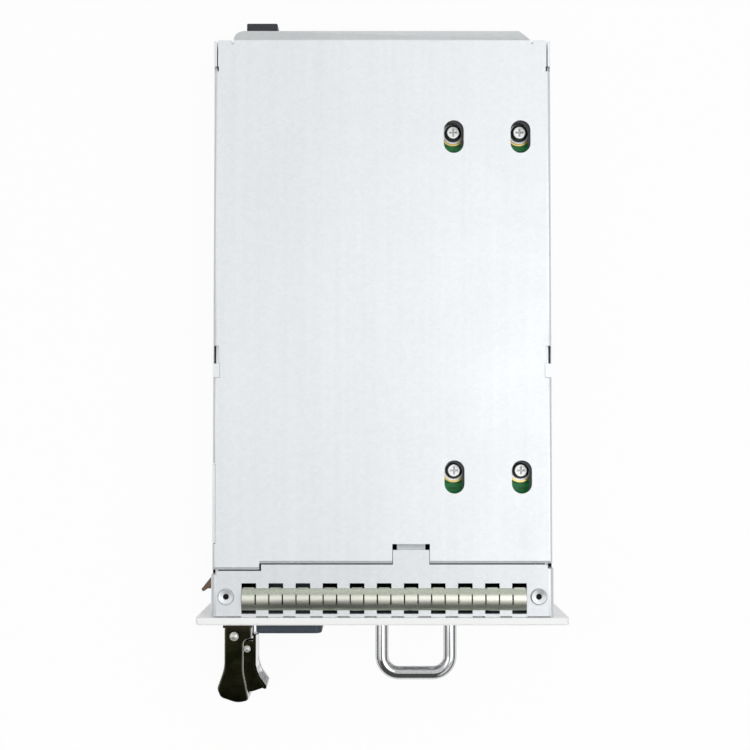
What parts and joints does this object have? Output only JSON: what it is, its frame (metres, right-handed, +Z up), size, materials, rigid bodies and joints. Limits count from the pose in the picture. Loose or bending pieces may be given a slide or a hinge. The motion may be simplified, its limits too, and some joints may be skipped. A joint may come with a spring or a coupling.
{
  "type": "plug-in power supply module",
  "caption": "Flat plug-in power supply module: sheet-metal case, white faceplate with inlet, pull handle and ejector lever, contact fingers and a rear blind-mate connector.",
  "frame": {"origin": "middle of the tray's underside", "axes": "+X across the module to the right seen from above with the faceplate towards the viewer, +Y from the faceplate to the rear connector, +Z up towards the cover"},
  "size_m": [0.1306, 0.2455, 0.0436],
  "materials": {
    "white_paint": "smooth white paint on aluminium",
    "zinc_steel": "zinc-coated sheet, fine spangle",
    "finger_metal": "tinned spring strip",
    "rivet_metal": "plain",
    "screw_steel": "zinc-plated",
    "film": "grey film",
    "board": "green solder mask",
    "pad_gold": "gold-plated",
    "pillar_brass": "plain",
    "capacitor_sleeve": "dark sleeve",
    "ferrite": "ground ferrite",
    "winding_tape": "yellow tape",
    "sink_aluminium": "extruded",
    "transistor_case": "moulded",
    "inlet_plastic": "dark slate moulding",
    "pin_brass": "nickel-plated",
    "chrome_bar": "bright plating",
    "black_nickel": "bright black plating",
    "pin_steel": "plain",
    "lamp_lens": "clear light guide",
    "connector_plastic": "moulded"
  },
  "bodies": {
    "module": {"faceplate": "white_paint", "base_tray": "zinc_steel", "top_cover": "zinc_steel", "front_collar": "zinc_steel", "contact_fingers": "finger_metal", "collar_rivets": "rivet_metal", "cover_screws": "screw_steel", "faceplate_screws": "screw_steel", "insulating_film": "film", "circuit_board": "board", "solder_pads": "pad_gold", "flat_washers": "screw_steel", "spring_washers": "screw_steel", "board_screws": "screw_steel", "board_pillars": "pillar_brass", "bulk_capacitors": "capacitor_sleeve", "output_capacitors": "capacitor_sleeve", "transformer_core": "ferrite", "transformer_winding": "winding_tape", "input_heat_sink": "sink_aluminium", "output_heat_sink": "sink_aluminium", "power_transistors": "transistor_case", "filter_choke": "ferrite", "mains_inlet": "inlet_plastic", "inlet_pins": "pin_brass", "pull_handle": "chrome_bar", "handle_screws": "screw_steel", "lever_bracket": "black_nickel", "bracket_screws": "screw_steel", "indicator_lamps": "lamp_lens", "rear_connector": "connector_plastic", "connector_contacts": "pad_gold"},
    "lever": {"ejector_lever": "black_nickel", "lever_pivot_pin": "pin_steel", "trigger_pin": "pin_steel", "trigger_spring": "pin_steel"},
    "trigger": {"release_trigger": "black_nickel"}
  },
  "joints": [
    {"name": "lever_hinge", "type": "hinge", "parent": "module", "child": "lever", "pos_m": [-0.0534, -0.111, 0.0198], "axis": [0, 0, 1], "range_deg": [-28, 0]},
    {"name": "trigger_hinge", "type": "hinge", "parent": "lever", "child": "trigger", "pos_m": [-0.04885, -0.11565, 0.0198], "axis": [0, 0, 1], "range_deg": [-6, 0], "stiffness_Nm_per_rad": 0.05, "springref_deg": 11.46}
  ]
}
